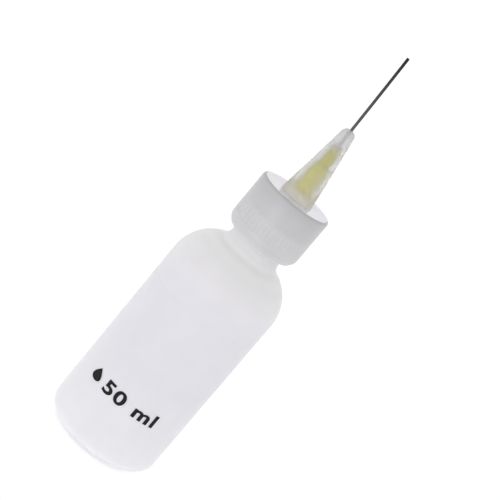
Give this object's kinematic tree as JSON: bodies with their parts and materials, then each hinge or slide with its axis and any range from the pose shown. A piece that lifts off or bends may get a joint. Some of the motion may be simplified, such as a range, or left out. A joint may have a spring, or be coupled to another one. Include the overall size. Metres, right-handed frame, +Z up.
{
  "type": "glue applicator bottle",
  "caption": "Round squeeze bottle with a ribbed screw cap, a tapered frosted nozzle and a thin steel needle for placing drops of glue.",
  "frame": {"origin": "centre of the base, on the plane that the bottle stands on", "axes": "+Z up along the bottle's axis towards the needle's tip; -Y towards the printed front"},
  "size_m": [0.036, 0.036, 0.1437],
  "materials": {
    "natural_polythene": "satin, milky translucent",
    "white_polypropylene": "satin sides, smooth top",
    "frosted_polythene": "frosted translucent",
    "yellow_hub_plastic": "satin",
    "needle_steel": "drawn and ground",
    "cured_epoxy": "glossy",
    "washer_foam": "matt foam",
    "printing_ink": "satin print"
  },
  "bodies": {
    "bottle": {"bottle": "natural_polythene"},
    "nozzle": {"sealing_washer": "washer_foam", "nozzle_cone": "frosted_polythene", "needle_hub": "yellow_hub_plastic", "needle_tube": "needle_steel", "epoxy_bead": "cured_epoxy"},
    "cap": {"screw_cap": "white_polypropylene"}
  },
  "joints": [
    {"name": "closure_lift", "type": "slide", "parent": "bottle", "child": "nozzle", "axis": [0, 0, 1], "range_m": [0, 0.00636]},
    {"name": "cap_turn", "type": "hinge", "parent": "nozzle", "child": "cap", "pos_m": [0, 0, 0.0896], "axis": [0, 0, 1], "range_deg": [0, 720]}
  ],
  "couplings": [
    {"joint": "closure_lift", "follows": "cap_turn", "m_per_rad": 0.00050532}
  ]
}
